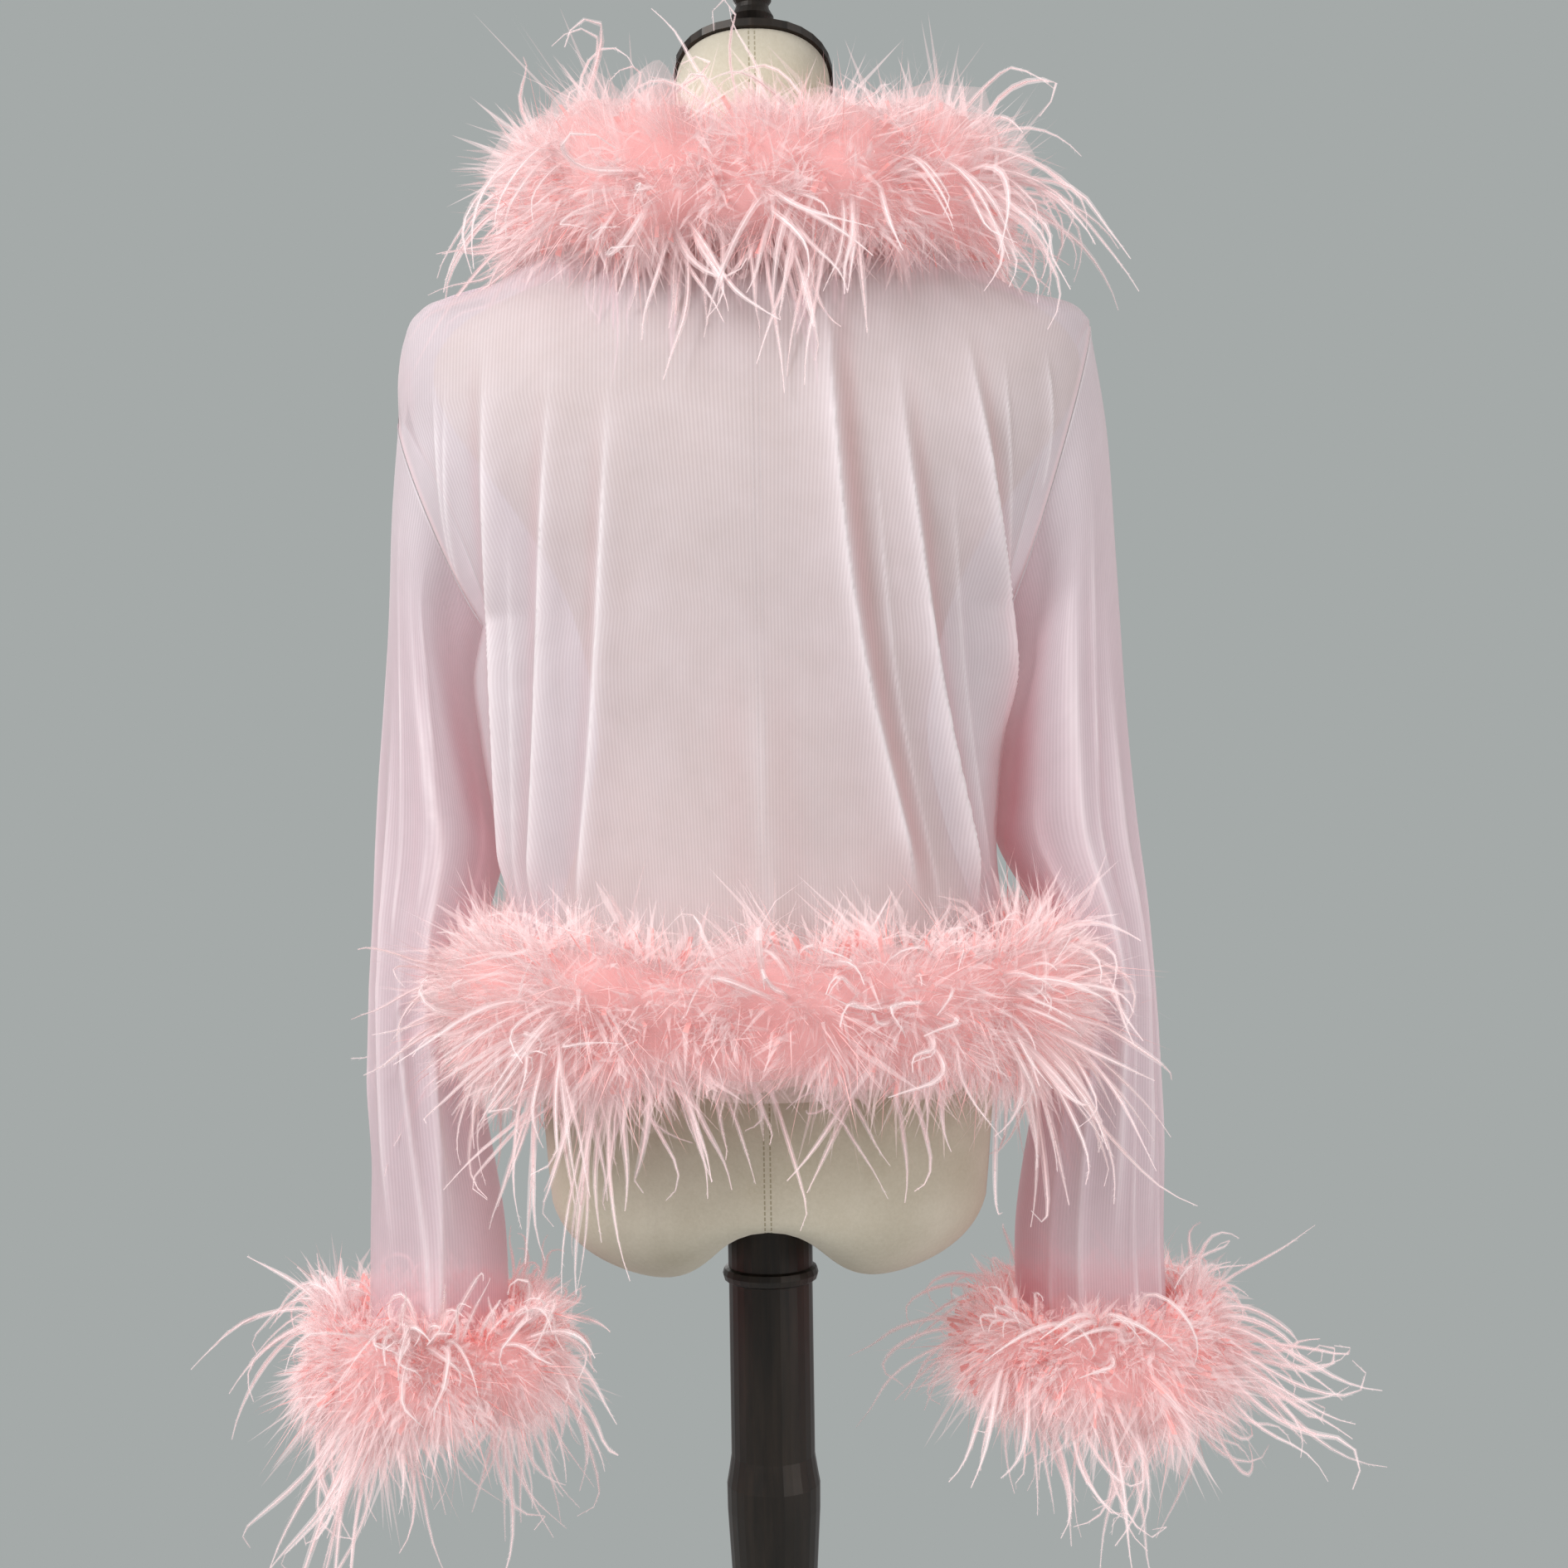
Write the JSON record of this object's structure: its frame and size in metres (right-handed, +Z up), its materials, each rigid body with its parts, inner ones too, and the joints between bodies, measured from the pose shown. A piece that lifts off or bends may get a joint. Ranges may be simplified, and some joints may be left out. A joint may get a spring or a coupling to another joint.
{
  "type": "feather bolero on a dress form",
  "caption": "Cropped sheer bolero with long straight sleeves and feather trim at neck, hem and cuffs, worn by a limbless linen dress form on a turned pole stand.",
  "frame": {"origin": "centre of the stand base's underside, on the floor", "axes": "+Z up along the pole; the wearer's front faces -Y and the wearer's left is +X"},
  "size_m": [0.7256, 0.4957, 1.6019],
  "materials": {
    "sheer_mesh": "sheer pink stretch mesh with fine lengthwise wales",
    "feather": "salmon pink down with long pale strands",
    "linen": "plain cream linen, tightly covered",
    "bronze": "dark bronze, semi-gloss"
  },
  "bodies": {
    "root": {"back_panel": "sheer_mesh", "front_left": "sheer_mesh", "front_right": "sheer_mesh", "sleeve_left": "sheer_mesh", "sleeve_right": "sheer_mesh", "collar_feathers": "feather", "hem_feathers": "feather", "cuff_left_feathers": "feather", "cuff_right_feathers": "feather", "form_torso": "linen", "neck_cap": "bronze", "stand_pole": "bronze", "stand_base": "bronze"}
  },
  "joints": []
}
